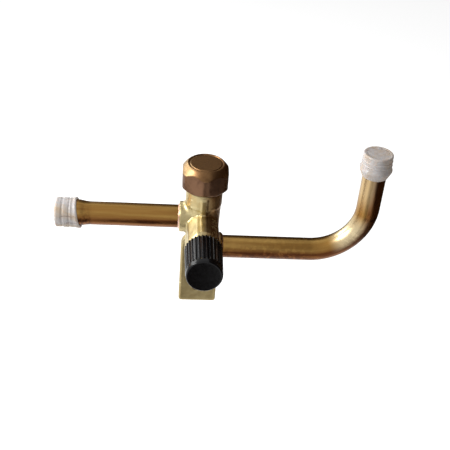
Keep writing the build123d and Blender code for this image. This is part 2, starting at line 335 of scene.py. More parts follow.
def spun(points, steps=96, finest=None):
    """Spin a profile once round Z and close it."""
    bm = profile(points, finest)
    bmesh.ops.spin(
        bm, geom=bm.verts[:] + bm.edges[:], cent=(0, 0, 0), axis=(0, 0, 1),
        angle=TURN, steps=steps, use_merge=True)
    bmesh.ops.remove_doubles(bm, verts=bm.verts, dist=MERGE)
    bmesh.ops.recalc_face_normals(bm, faces=bm.faces)
    return bm


# %% [markdown]
# Each piece is made about its own axis and then placed. Before it is placed, every point
# keeps where it was in the making as an attribute named "made". A streak drawn along a
# tube or a ring left by a lathe follows that attribute, even round a bend.

# %% Places
AXIS_Y = -8.0
STEM_Z = 33.0
RIGHT_Z = 18.7
PORT_Z = 31.6
UPRIGHT_X = 67.4


def place(x, z, turn=Matrix.Identity(4)):
    """Matrix that puts a piece made about Z onto an axis of the valve."""
    return Matrix.Translation(Vector((x, AXIS_Y, z)) * MM) @ turn


ON_STEM = place(0, STEM_Z)
ON_LEFT = place(0, STEM_Z, Matrix.Rotation(-QUARTER, 4, "Y"))
ON_RIGHT = place(0, RIGHT_Z, Matrix.Rotation(QUARTER, 4, "Y"))
ON_PORT = place(0, PORT_Z, Matrix.Rotation(QUARTER, 4, "X"))
ON_UPRIGHT = place(UPRIGHT_X, STEM_Z)

# %% Finish a piece
pieces = {}


def finish_piece(name, bm, body, where, replaced, slot, sharp=35, made_from=None):
    """Turn a bmesh into an object in its place, riding on a CAD body."""
    mesh = bpy.data.meshes.new(name)
    source = made_from or (lambda point: point)
    made = [source(v.co.copy()) for v in bm.verts]
    bmesh.ops.transform(bm, matrix=where, verts=bm.verts)
    bm.to_mesh(mesh)
    bm.free()
    attribute = mesh.attributes.new("made", "FLOAT_VECTOR", "POINT")
    attribute.data.foreach_set("vector", [c for point in made for c in point])
    mesh.shade_smooth()
    mesh.set_sharp_from_angle(angle=math.radians(sharp))
    piece = bpy.data.objects.new(name, mesh)
    scene.collection.objects.link(piece)
    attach(piece, body)
    if replaced:
        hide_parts(*replaced)
    pieces[piece] = slot
    print(name, "triangles:", sum(len(p.vertices) - 2 for p in mesh.polygons))
    return piece


# %% [markdown]
# ## Forged body
# The body is hot-forged brass. Its edges are soft, its skin is finely pitted by the die
# and the shot blasting, and only the faces that seal or carry a thread are machined. The
# solid part has every form but crisp edges. A copy of it is remeshed into small even
# squares, then the raw skin alone is smoothed, so that edges melt where the die made
# them and stay true where a tool cut them.

# %% Copy and remesh
BODY_VOXEL = 0.29 * MM


def remeshed_copy(name, voxel):
    """Copy of a solid part as even squares, returned as a bmesh."""
    bm = bmesh.new()
    bm.from_mesh(nodes[name].data)
    bmesh.ops.remove_doubles(bm, verts=bm.verts, dist=MERGE)
    mesh = bpy.data.meshes.new(name + "_copy")
    bm.to_mesh(mesh)
    bm.free()
    holder = bpy.data.objects.new(name + "_copy", mesh)
    scene.collection.objects.link(holder)
    remesh = holder.modifiers.new("even squares", "REMESH")
    remesh.mode = "VOXEL"
    remesh.voxel_size = voxel
    evaluated = holder.evaluated_get(bpy.context.evaluated_depsgraph_get())
    fine = bpy.data.meshes.new_from_object(evaluated)
    bpy.data.objects.remove(holder)
    bm = bmesh.new()
    bm.from_mesh(fine)
    return bm


body = remeshed_copy("valve_body", BODY_VOXEL)
print("body squares:", len(body.faces))

# %% [markdown]
# Which skin is raw is decided by distance from each axis. Everything inside the bores,
# the neck above the collar, the port beyond its shoulder, the two tube faces and the
# mounting face are cut. All the rest came out of the die.

# %% Raw skin
FROM_STEM = ON_STEM.inverted()
PORT_DROP = 1.4
RIGHT_DROP = 14.3
STEM_BORE, STEM_FLOOR = 5.4, -18.6
PORT_BORE, PORT_FLOOR = 3.2, -2
SOCKET_BORE = 5.0
HOLE_RADIUS, HOLE_OFFSET, HOLE_EDGE = 2.65, 6.0, 0.4
LEFT_FACE, RIGHT_FACE = -9.45, 8.55
BACK_FACE, PORT_SHOULDER = 7.85, -19.5
COLLAR_TOP = 13.9


def is_raw(point):
    """True where the skin was left as forged."""
    x, y, z = [c / MM for c in FROM_STEM @ point]
    hole_middle = math.hypot(x, abs(z + STEM_Z) - HOLE_OFFSET)
    return not (
        (math.hypot(x, y) < STEM_BORE and z > STEM_FLOOR)
        or (math.hypot(x, z + PORT_DROP) < PORT_BORE and y < PORT_FLOOR)
        or (math.hypot(y, z) < SOCKET_BORE and x < 0)
        or (math.hypot(y, z + RIGHT_DROP) < SOCKET_BORE and x > 0)
        or abs(hole_middle - HOLE_RADIUS) < HOLE_EDGE
        or not LEFT_FACE <= x <= RIGHT_FACE
        or not PORT_SHOULDER <= y <= BACK_FACE
        or z > COLLAR_TOP)


body.verts.ensure_lookup_table()
raw = [v for v in body.verts if is_raw(v.co)]
cut = [v for v in body.verts if not is_raw(v.co)]
for skin, rounds in ((cut, 2), (raw, 4)):
    for _ in range(rounds):
        bmesh.ops.smooth_vert(
            body, verts=skin, factor=0.5, use_axis_x=True, use_axis_y=True, use_axis_z=True)
print("raw points:", len(raw), "cut points:", len(cut))

# %% Die marks
body.normal_update()
for vert in raw:
    swell = noise.noise(vert.co * 260) * 0.05 + noise.noise(vert.co * 900) * 0.022
    vert.co += vert.normal * (swell - 0.05) * MM

# %% [markdown]
# The neck and the port carry threads. The solid part has plain cylinders there, at the
# size of the crests, so the cylinder is drawn in to the root size and a ridge is wound
# round it. A short profile, spun with a step along the axis, makes the ridge.

# %% Draw in to the root of the thread
NECK_THREAD = {"root": 6.25, "crest": 6.9, "pitch": 1.5, "low": 15.3, "high": 21.9}
PORT_THREAD = {"root": 4.95, "crest": 5.5, "pitch": 1.27, "low": 20.6, "high": 32.3}
LEAD_IN = 0.5


def draw_in(bm, to_local, thread):
    """Move the plain thread cylinder in to the root radius."""
    root, crest, low = thread["root"], thread["crest"], thread["low"]
    for vert in bm.verts:
        local = to_local @ vert.co
        radius = math.hypot(local.x, local.y)
        height = local.z / MM
        near = abs(radius / MM - crest) < 0.45 or root < radius / MM < crest
        if near and low - LEAD_IN < height:
            fade = min(1.0, (height - low + LEAD_IN) / LEAD_IN)
            depth = (crest - root) * fade * MM
            scale_off_axis(local, (radius - depth) / radius)
            vert.co = to_local.inverted() @ local


draw_in(body, FROM_STEM, NECK_THREAD)
draw_in(body, ON_PORT.inverted(), PORT_THREAD)
bmesh.ops.recalc_face_normals(body, faces=body.faces)
finish_piece(
    "forged_body", body, "valve", Matrix.Identity(4), ["valve_body"], "forged_brass", 60)

# %% Wind the threads
STEPS_A_TURN = 48


def wound_thread(name, where, thread):
    """Helical ridge that runs out at both ends."""
    root, crest, pitch = thread["root"] - 0.15, thread["crest"], thread["pitch"]
    turns = (thread["high"] - thread["low"]) / pitch - 0.8
    steps = round(turns * STEPS_A_TURN)
    bm = bmesh.new()
    section = [(root, -0.44), (crest - 0.05, -0.08), (crest - 0.05, 0.08), (root, 0.44)]
    first = thread["low"] + 0.4 * pitch
    corners = [bm.verts.new((r * MM, 0, (first + share * pitch) * MM)) for r, share in section]
    face = bm.faces.new(corners)
    rise = Vector((0, 0, turns * pitch * MM / steps))
    bmesh.ops.spin(
        bm, geom=[face] + face.edges[:] + corners, cent=(0, 0, 0), axis=(0, 0, 1),
        dvec=rise, angle=turns * TURN, steps=steps, use_merge=False)
    low = min(v.co.z for v in bm.verts)
    high = max(v.co.z for v in bm.verts)
    for vert in bm.verts:
        radius = math.hypot(vert.co.x, vert.co.y)
        near_end = min(vert.co.z - low, high - vert.co.z) / (0.9 * pitch * MM)
        keep = min(1.0, near_end)
        wanted = root * MM + (radius - root * MM) * keep
        scale_off_axis(vert.co, wanted / radius)
    bmesh.ops.recalc_face_normals(bm, faces=bm.faces)
    finish_piece(name, bm, "valve", where, (), "forged_brass", 25)


wound_thread("neck_thread", ON_STEM, NECK_THREAD)
wound_thread("port_thread", ON_PORT, PORT_THREAD)

# %% [markdown]
# ## Hexagon cap
# The cap is turned from hexagon bar: the lathe gives it a domed crown and a coned foot,
# and the six flats are what is left of the bar. Here the turned shape is spun first, out
# to the corners, and then every point that lies outside the hexagon is pressed in to it.
# Where dome and flat meet this leaves the curved arches that a real nut has.

# %% Turned blank
CAP_FOOT, CAP_CROWN = 14.6, 25.5
ACROSS_FLATS = 18.1
CAP_CEILING = 23.2
hexagon = spun([
    (7.66, CAP_FOOT, 0.1),
    (8.4, CAP_FOOT, 0.25),
    (11.2, 17.4, 0.5),
    (11.2, 21.2, 0.6),
    (9.7, 22.4, 0.8),
    (9.05, 23.6, 0.8),
    (7.7, 25.15, 0.5),
    (7.25, CAP_CROWN, 0.1),
    (6.95, CAP_CROWN - 0.02, 0.06),
    (6.75, 25.1, 0.06),
    (6.3, 25.1, 0.08),
    (6.05, CAP_CROWN - 0.06, 0.1),
    (0, CAP_CROWN - 0.08, 0),
    (0, CAP_CEILING, 0),
    (6.96, CAP_CEILING, 0.2),
    (6.96, 15.3, 0.1),
], steps=240, finest=0.3)
print("blank points:", len(hexagon.verts))

# %% Press the six flats
CORNER_POWER = 60.0
CORNER_RADIUS = 9.78
PRESS_FROM = 8.0
PRESS_BLEND = 0.16
CORNER_BLEND = 0.3


def hexagon_radius(angle):
    """Radius of the rounded hexagon at an angle, with flats towards +X and -X."""
    total = 0.0
    for side in range(6):
        facing = math.cos(angle - side * TURN / 6)
        if facing > 0:
            total += (facing / (ACROSS_FLATS / 2)) ** CORNER_POWER
    return total ** (-1 / CORNER_POWER)


def soft_minimum(a, b, blend):
    """Smaller of two lengths, rounded off where they are nearly equal."""
    share = max(blend - abs(a - b), 0.0) / blend
    return min(a, b) - share * share * blend / 4


for vert in hexagon.verts:
    radius = math.hypot(vert.co.x, vert.co.y) / MM
    if radius > PRESS_FROM:
        flat = hexagon_radius(math.atan2(vert.co.y, vert.co.x))
        flat = soft_minimum(flat, CORNER_RADIUS, CORNER_BLEND)
        scale_off_axis(vert.co, soft_minimum(radius, flat, PRESS_BLEND) / radius)
        dent = noise.noise(vert.co * 420) * 0.05 - 0.03
        vert.co -= off_axis(vert.co).normalized() * abs(dent) * MM
finish_piece(
    "hexagon_cap", hexagon, "hex_cap", ON_STEM, ["stem_cap"], "cap_brass", 50)

# %% [markdown]
# ## Fluted cap
# The service cap is moulded in glossy black plastic. Rounded flutes give the fingers a
# grip, and they end below a plain shoulder. The blank is spun with a dozen steps for
# each flute, and its side is then pressed in between the ridges. The hollows fade out
# before the shoulder, as a moulding tool leaves them.

# %% Spin the blank and press the flutes
FLUTES = 30
FLUTE_DEPTH = 0.42
FADE_FROM, FADE_TO = 35.2, 36.1
fluted = spun([
    (5.56, 20.7, 0.15),
    (6.95, 20.7, 0.3),
    (7.45, 21.2, 0.3),
    (7.2, 36.0, 0.25),
    (6.93, 38.0, 0.55),
    (0, 38.0, 0),
    (0, 35.2, 0),
    (5.56, 35.2, 0.1),
], steps=FLUTES * 12, finest=0.45)

for vert in fluted.verts:
    radius = math.hypot(vert.co.x, vert.co.y)
    height = vert.co.z / MM
    if radius > 6.6 * MM and height < FADE_TO:
        angle = math.atan2(vert.co.y, vert.co.x)
        wave = 0.5 - 0.5 * math.cos(FLUTES * angle)
        hollow = min(1.0, max(0.0, (wave - 0.12) / 0.6))
        hollow = hollow * hollow * (3 - 2 * hollow)
        fade = min(1.0, (FADE_TO - height) / (FADE_TO - FADE_FROM))
        scale_off_axis(vert.co, (radius - FLUTE_DEPTH * MM * hollow * fade) / radius)
finish_piece(
    "fluted_cap", fluted, "port_cap", ON_PORT, ["service_cap"], "black_plastic", 40)

# %% [markdown]
# ## Tubes
# Both tubes are thin drawn tube. The left one is straight and its end is swaged wider,
# so that the next tube slips inside. It is a spun profile with a wall. The surface is
# never quite true, so slow noise draws it in by a few hundredths of a millimetre.

# %% Swaged tube
TUBE, WALL = 4.76, 0.8
SWAGE = 5.5


def settle(bm, depth, scale):
    """Draw a thin surface in a little, unevenly, towards its own axis."""
    for vert in bm.verts:
        dip = (noise.noise(vert.co * scale) - 0.6) * depth * MM
        vert.co += off_axis(vert.co).normalized() * dip


left = spun([
    (TUBE, 4.6, 0),
    (TUBE, 46.8, 1.6),
    (SWAGE, 50.0, 1.4),
    (SWAGE, 58.3, 0.15),
    (4.8, 58.3, 0.15),
    (4.8, 50.3, 0.5),
    (TUBE - WALL, 47.3, 0.5),
    (TUBE - WALL, 4.6, 0),
], steps=96, finest=0.8)
settle(left, 0.05, 90)
swaged_tube = finish_piece(
    "swaged_tube", left, "valve", ON_LEFT, ["left_tube"], "copper_tube")

# %% [markdown]
# The right tube is level, turns up through a square bend and ends upright. A ring of
# points is pushed along the level part, spun round the centre of the bend and pushed up.
# Bending flattens a tube, so the inner side of the bend is then pressed in. Its "made"
# attribute unrolls the bend, and streaks will follow the tube round it.

# %% Ring pushed along a path
BEND_RADIUS = 22.0
BEND_START = UPRIGHT_X - BEND_RADIUS
BEND_CENTRE = Vector((BEND_START, 0, RIGHT_Z + BEND_RADIUS)) * MM
UPRIGHT_TOP = 64.9
TUBE_FOOT = 3.7


def push(bm, edges, step, times):
    """Extrude an edge ring several times by one step, and give back the last ring."""
    for _ in range(times):
        made = bmesh.ops.extrude_edge_only(bm, edges=edges)["geom"]
        moved = [g for g in made if isinstance(g, bmesh.types.BMVert)]
        edges = [g for g in made if isinstance(g, bmesh.types.BMEdge)]
        bmesh.ops.translate(bm, vec=step, verts=moved)
    return edges


def bent_shell():
    """Outer skin of the bent tube, level along +X and then up."""
    bm = bmesh.new()
    ring = bmesh.ops.create_circle(bm, segments=96, radius=TUBE * MM)["verts"]
    start = Matrix.Translation(Vector((TUBE_FOOT, 0, RIGHT_Z)) * MM)
    bmesh.ops.transform(bm, matrix=start @ Matrix.Rotation(QUARTER, 4, "Y"), verts=ring)
    level = (BEND_START - TUBE_FOOT) * MM
    edges = push(bm, bm.edges[:], Vector((level / 40, 0, 0)), 40)
    ends = list({v for e in edges for v in e.verts})
    turned = bmesh.ops.spin(
        bm, geom=ends + edges, cent=BEND_CENTRE, axis=(0, -1, 0),
        angle=QUARTER, steps=48, use_merge=False)["geom_last"]
    edges = [g for g in turned if isinstance(g, bmesh.types.BMEdge)]
    rise = UPRIGHT_TOP * MM - BEND_CENTRE.z
    push(bm, edges, Vector((0, 0, rise / 24)), 24)
    bmesh.ops.remove_doubles(bm, verts=bm.verts, dist=1e-7)
    bmesh.ops.recalc_face_normals(bm, faces=bm.faces)
    return bm


bent = bent_shell()
print("bent shell points:", len(bent.verts))

# %% Flatten the bend and add the wall
OVAL = 0.07
INNER_SHARE = 0.8


def along_bend(point):
    """Unrolled place of a point: across, radial and distance along the tube."""
    flat = point - BEND_CENTRE
    if flat.x <= 0:
        return Vector((point.y, -flat.z - BEND_RADIUS * MM, point.x))
    if flat.z >= 0:
        upright = BEND_START * MM + BEND_RADIUS * MM * QUARTER
        return Vector((point.y, flat.x - BEND_RADIUS * MM, upright + flat.z))
    angle = math.atan2(flat.x, -flat.z)
    out = math.hypot(flat.x, flat.z) - BEND_RADIUS * MM
    return Vector((point.y, out, BEND_START * MM + BEND_RADIUS * MM * angle))


def press_oval(bm):
    """Flatten the inner side of the bend, most at its middle."""
    for vert in bm.verts:
        flat = vert.co - BEND_CENTRE
        angle = math.atan2(flat.x, -flat.z) if flat.x > 0 else 0.0
        if 0 < angle < QUARTER:
            amount = OVAL * math.sin(angle * 2) ** 1.5
            radial = Vector((flat.x, 0, flat.z)).normalized()
            out = math.hypot(flat.x, flat.z) - BEND_RADIUS * MM
            vert.co -= radial * min(out, 0.0) * amount * INNER_SHARE


press_oval(bent)
bmesh.ops.solidify(bent, geom=bent.faces[:], thickness=WALL * MM)
bmesh.ops.recalc_face_normals(bent, faces=bent.faces)
bent_tube = finish_piece(
    "bent_tube", bent, "valve", Matrix.Translation((0, AXIS_Y * MM, 0)), ["right_tube"],
    "copper_tube", made_from=along_bend)

# %% [markdown]
# ## Braze beads
# The tubes are brazed into the body. The filler creeps round each joint and freezes as a
# narrow bead that is nowhere quite the same width. A small fillet profile is spun, and
# slow noise round the ring then stretches and shrinks it.

# %% Beads
def bead(name, where, face, replaced):
    bm = spun([
        (TUBE - 0.05, face - 0.05, 0),
        (TUBE + 0.72, face - 0.05, 0.1),
        (TUBE + 0.62, face + 0.12, 0.1),
        (TUBE + 0.2, face + 0.34, 0.1),
        (TUBE - 0.05, face + 0.72, 0),
    ], steps=120, finest=0.12)
    for vert in bm.verts:
        around = off_axis(vert.co).normalized()
        width = 0.72 + 0.25 * noise.noise(around * 2.3 + Vector((face, 0, 0)))
        vert.co.z = face * MM + (vert.co.z - face * MM) * width
        vert.co += around * (noise.noise(around * 5.0) - 0.5) * 0.08 * MM
    finish_piece(name, bm, "valve", where, [replaced], "braze_metal")


bead("left_braze_bead", ON_LEFT, 9.6, "left_braze_ring")
bead("right_braze_bead", ON_RIGHT, 8.7, "right_braze_ring")

# %% [markdown]
# ## Core spring
# Inside the service port a fine coil spring keeps the valve core shut. It is wound from
# spring steel wire. Here a small circle, the end of the wire, is spun four times while it
# climbs. When the pin is pressed the coil really shortens.

# %% Core spring
WIRE, COIL = 0.15, 0.95
COIL_TURNS, COIL_STEPS = 4, 112
COIL_LOW, COIL_HIGH = 25.1, 28.0


def wound_spring():
    """A wire wound about Z, with both ends closed."""
    bm = bmesh.new()
    wire = bmesh.ops.create_circle(bm, segments=12, radius=WIRE * MM)["verts"]
    start = Matrix.Translation(Vector((COIL, 0, COIL_LOW + WIRE)) * MM)
    bmesh.ops.transform(bm, matrix=start @ Matrix.Rotation(QUARTER, 4, "X"), verts=wire)
    climb = (COIL_HIGH - COIL_LOW - 2 * WIRE) * MM / COIL_STEPS
    bmesh.ops.spin(
        bm, geom=wire + bm.edges[:], cent=(0, 0, 0), dvec=(0, 0, climb), axis=(0, 0, 1),
        angle=TURN * COIL_TURNS, steps=COIL_STEPS, use_merge=False)
    bmesh.ops.holes_fill(bm, edges=bm.edges[:], sides=0)
    bmesh.ops.recalc_face_normals(bm, faces=bm.faces)
    return bm


coil_spring = finish_piece(
    "coil_spring", wound_spring(), "valve", ON_PORT, ["core_spring"], "spring_steel")
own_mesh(coil_spring)

# %% [markdown]
# ## Dust caps
# Thin soft caps keep dirt out of the tubes until they are joined. They are moulded in
# waxy polyethylene with a wall of half a millimetre. The left one was pushed on askew
# and is creased, with grip rings round it. The right one sits square, with fine rings
# and a flared band above a skirt that hugs the tube.

# %% Left dust cap
RIM, TOP = 48.85, 59.44
crumpled = spun([
    (5.54, RIM, 0.1),
    (6.26, RIM, 0.15),
    (6.4, RIM + 0.9, 0.3),
    (6.0, RIM + 2.7, 0.4),
    (6.08, RIM + 4.0, 0.2),
    (5.93, RIM + 4.4, 0.15),
    (5.93, RIM + 4.9, 0.15),
    (6.06, RIM + 5.3, 0.2),
    (6.06, RIM + 6.9, 0.2),
    (5.9, RIM + 7.3, 0.15),
    (5.9, RIM + 7.8, 0.15),
    (6.04, RIM + 8.2, 0.2),
    (6.0, TOP - 0.6, 0.4),
    (5.4, TOP, 0.4),
    (0, TOP, 0),
    (0, TOP - 1.0, 0),
    (5.54, TOP - 1.0, 0.2),
], steps=144, finest=0.35)


def crease(bm):
    """Skew the open rim, and pucker the wall along its length."""
    for vert in bm.verts:
        height = vert.co.z / MM
        reach = max(0.0, 1 - (height - RIM) / 5.0)
        vert.co.z += (1.1 * MM + 0.158 * vert.co.x) * reach
        around = off_axis(vert.co)
        radius = around.length
        if radius > 5.7 * MM:
            long_grain = Vector((vert.co.x * 260, vert.co.y * 260, vert.co.z * 90))
            pucker = noise.noise(long_grain)
            fold = noise.noise(vert.co * 600) * 0.5
            vert.co -= around.normalized() * max(0.0, pucker + fold) * 0.2 * MM
        elif height > TOP - 1.2:
            vert.co.z += noise.noise(vert.co * 350) * 0.12 * MM - 0.06 * MM


crease(crumpled)
finish_piece(
    "creased_dust_cap", crumpled, "left_cap", ON_LEFT, ["left_dust_cap"],
    "white_polyethylene", 60)

# %% Right dust cap
LID = 33.05
ringed = spun([
    (4.8, LID - 10.2, 0.05),
    (5.15, LID - 10.2, 0.1),
    (6.5, LID - 7.2, 0.25),
    (6.58, LID - 6.7, 0.2),
    (6.18, LID - 5.7, 0.2),
    (6.02, LID - 4.65, 0.08),
    (6.22, LID - 4.4, 0.1),
    (5.98, LID - 4.1, 0.08),
    (5.98, LID - 2.95, 0.08),
    (6.18, LID - 2.7, 0.1),
    (5.93, LID - 2.4, 0.08),
    (5.97, LID - 0.35, 0.3),
    (5.55, LID, 0.2),
    (5.0, LID - 0.12, 0.1),
    (0, LID - 0.12, 0),
    (0, LID - 1.0, 0),
    (5.3, LID - 1.0, 0.2),
    (5.3, LID - 5.6, 0.3),
    (5.8, LID - 7.0, 0.3),
    (4.8, LID - 9.4, 0.1),
], steps=144, finest=0.35)
for vert in ringed.verts:
    around = off_axis(vert.co)
    if around.length > 5.85 * MM:
        vert.co -= around.normalized() * max(0.0, noise.noise(vert.co * 240)) * 0.14 * MM
    elif around.length < 4.9 * MM and vert.co.z > (LID - 0.5) * MM:
        vert.co.z -= (0.12 + noise.noise(vert.co * 420) * 0.12) * MM
finish_piece(
    "ringed_dust_cap", ringed, "right_cap", ON_UPRIGHT, ["right_dust_cap"],
    "white_polyethylene", 60)

# %% [markdown]
# ## Shared effects
# Several finishes share the same causes: stains where hands and heat have been, a skin
# pitted by the die, streaks along the way a tube was drawn, rings left by a lathe, and
# edges rubbed bright. Each cause is one node group, built once and then used in every
# material that needs it, with its own scale and strength.

# %% Group helper
def paint(red, green, blue):
    """Colour for a socket from the usual 0 to 255 values."""
    def linear(value):
        value /= 255
        return value / 12.92 if value <= 0.04045 else ((value + 0.055) / 1.055) ** 2.4
    return (linear(red), linear(green), linear(blue), 1)


def new_group(name, inputs, outputs):
    """Empty node group with named sockets; each input is (name, kind, default)."""
    group = bpy.data.node_groups.new(name, "ShaderNodeTree")
    for label, kind, default in inputs:
        socket = group.interface.new_socket(
            label, in_out="INPUT", socket_type="NodeSocket" + kind)
        if default is not None:
            socket.default_value = default
    for label, kind in outputs:
        group.interface.new_socket(label, in_out="OUTPUT", socket_type="NodeSocket" + kind)
    given = group.nodes.new("NodeGroupInput").outputs
    put = group.nodes.new("NodeGroupOutput").inputs
    return group, given, put


def use_group(tree, group, inputs):
    """Place a node group in a material."""
    made = tree.nodes.new("ShaderNodeGroup")
    made.node_tree = group
    for name, value in inputs.items():
        feed(tree, made.inputs[name], value)
    return made.outputs


# %% Noise and threshold
def noise_value(tree, vector, scale, detail, roughness=0.5, distortion=0.0):
    return node(tree, "TexNoise", {
        "Vector": vector, "Scale": scale, "Detail": detail, "Roughness": roughness,
        "Distortion": distortion}).outputs["Fac"]


def above(tree, value, reach, softness):
    """Smooth step from 0 to 1, that starts at a reach and is one softness wide."""
    return remap(tree, value, reach, math_node(tree, "ADD", reach, softness), 0, 1)


# %% Stains
def stain_group():
    """Patches with ragged edges: 1 inside a stain, 0 outside."""
    group, given, put = new_group(
        "stains",
        [("Vector", "Vector", None), ("Scale", "Float", 100.0),
         ("Reach", "Float", 0.55), ("Softness", "Float", 0.12)],
        [("Mask", "Float")])
    rough = noise_value(group, given["Vector"], given["Scale"], 7.0, 0.62, 0.6)
    mask = above(group, rough, given["Reach"], given["Softness"])
    group.links.new(mask, put["Mask"])
    return group


# %% Forged skin
def forged_skin_group():
    """Fine pits and soft swells of a blasted forging, as a height and a mottle."""
    group, given, put = new_group(
        "forged skin", [("Vector", "Vector", None), ("Scale", "Float", 1.0)],
        [("Height", "Float"), ("Mottle", "Float")])
    fine = noise_value(group, given["Vector"], times(group, given["Scale"], 2600.0), 4.0, 0.6)
    pits = node(group, "TexVoronoi", {
        "Vector": given["Vector"], "Scale": times(group, given["Scale"], 1500.0),
        "Randomness": 1.0}, feature="SMOOTH_F1")
    broad = noise_value(group, given["Vector"], times(group, given["Scale"], 340.0), 5.0, 0.6)
    height = math_node(group, "ADD", fine, pits.outputs["Distance"])
    group.links.new(times(group, height, 0.5), put["Height"])
    group.links.new(broad, put["Mottle"])
    return group


# %% Drawn streaks
def drawn_streak_group():
    """Streaks along the third axis of a vector: a fine height and a slow tone."""
    group, given, put = new_group(
        "drawn streaks", [("Vector", "Vector", None), ("Length", "Float", 0.06)],
        [("Height", "Float"), ("Tone", "Float")])
    stretch = node(group, "CombineXYZ", {"X": 1.0, "Y": 1.0, "Z": given["Length"]})
    along = squeezed(group, given["Vector"], stretch.outputs[0])
    group.links.new(noise_value(group, along, 2400.0, 3.0, 0.6), put["Height"])
    group.links.new(noise_value(group, along, 420.0, 4.0, 0.55), put["Tone"])
    return group


# %% Lathe rings
def lathe_ring_group():
    """Fine rings about the third axis of a vector, uneven in depth."""
    group, given, put = new_group(
        "lathe rings", [("Vector", "Vector", None), ("Pitch", "Float", 0.0003)],
        [("Height", "Float")])
    parts = node(group, "SeparateXYZ", {0: given["Vector"]}).outputs
    flat = node(group, "CombineXYZ", {"X": parts["X"], "Y": parts["Y"], "Z": 0.0})
    length = node(group, "VectorMath", {0: flat.outputs[0]}, operation="LENGTH")
    radius = length.outputs["Value"]
    travel = math_node(group, "ADD", radius, parts["Z"])
    turns = math_node(group, "DIVIDE", travel, given["Pitch"])
    line = node(group, "CombineXYZ", {"X": turns, "Y": 0.0, "Z": 0.0})
    group.links.new(noise_value(group, line.outputs[0], 1.0, 2.0), put["Height"])
    return group


# %% Rubbed edges
def rubbed_edge_group():
    """1 along convex edges, broken up by noise."""
    group, given, put = new_group(
        "rubbed edges",
        [("Vector", "Vector", None), ("Reach", "Float", 0.54), ("Softness", "Float", 0.05)],
        [("Mask", "Float")])
    bend = node(group, "NewGeometry").outputs["Pointiness"]
    broken = noise_value(group, given["Vector"], 700.0, 3.0)
    shift = times(group, math_node(group, "SUBTRACT", broken, 0.5), 0.03)
    mask = above(
        group, math_node(group, "ADD", bend, shift), given["Reach"], given["Softness"])
    group.links.new(mask, put["Mask"])
    return group


stains = stain_group()
forged_skin = forged_skin_group()
drawn_streaks = drawn_streak_group()
lathe_rings = lathe_ring_group()
rubbed_edges = rubbed_edge_group()
print("node groups:", [g.name for g in bpy.data.node_groups])

# %% [markdown]
# ## Material helpers
# Each finish starts from one Principled shader. The values that are the same all over
# are set on its own sockets. Colour and roughness are mixed from masks, and one Bump
# node turns a height into relief of a stated depth.

# %% Material helpers
finishes = {}


def new_finish(name, **plain):
    """Material with a Principled shader; plain values go straight to its sockets."""
    material = bpy.data.materials.new(name)
    material.use_nodes = True
    tree = material.node_tree
    shader = tree.nodes["Principled BSDF"]
    for label, value in plain.items():
        shader.inputs[label.replace("_", " ")].default_value = value
    finishes[name] = material
    return tree, shader


def blend_colour(tree, mask, first, second):
    """Mix two colours by a mask."""
    made = tree.nodes.new("ShaderNodeMix")
    made.data_type = "RGBA"
    for index, value in ((0, mask), (6, first), (7, second)):
        feed(tree, made.inputs[index], value)
    return made.outputs[2]


def mottled(tree, skin, first, second):
    """Two tones of a metal, mixed by the mottle of its skin."""
    return blend_colour(tree, remap(tree, skin["Mottle"], 0.35, 0.65, 0, 1), first, second)


def relief(tree, shader, height, depth):
    """Bump from a height, with its full depth in millimetres."""
    bump = node(tree, "Bump", {"Height": height, "Distance": depth * MM, "Strength": 1.0})
    tree.links.new(bump.outputs[0], shader.inputs["Normal"])


def dress(tree, shader, colour, roughness):
    """Colour and roughness of a finish."""
    tree.links.new(colour, shader.inputs["Base Color"])
    tree.links.new(roughness, shader.inputs["Roughness"])


def stained(tree, vector, scale, reach, softness):
    """Mask of the stains on a surface."""
    return use_group(tree, stains, {
        "Vector": vector, "Scale": scale, "Reach": reach, "Softness": softness})["Mask"]


def rubbed(tree, vector, reach):
    """Mask of the edges that are rubbed bright."""
    return use_group(tree, rubbed_edges, {
        "Vector": vector, "Reach": reach, "Softness": 0.05})["Mask"]


def distance_from(tree, value, middle):
    return math_node(tree, "ABSOLUTE", math_node(tree, "SUBTRACT", value, middle))


def object_place(tree):
    return node(tree, "TexCoord").outputs["Object"]


def made_place(tree):
    """Where a point was when its piece was made."""
    made = node(tree, "Attribute", attribute_name="made", attribute_type="GEOMETRY")
    return made.outputs["Vector"]


def axis_value(tree, vector, axis):
    return node(tree, "SeparateXYZ", {0: vector}).outputs[axis]
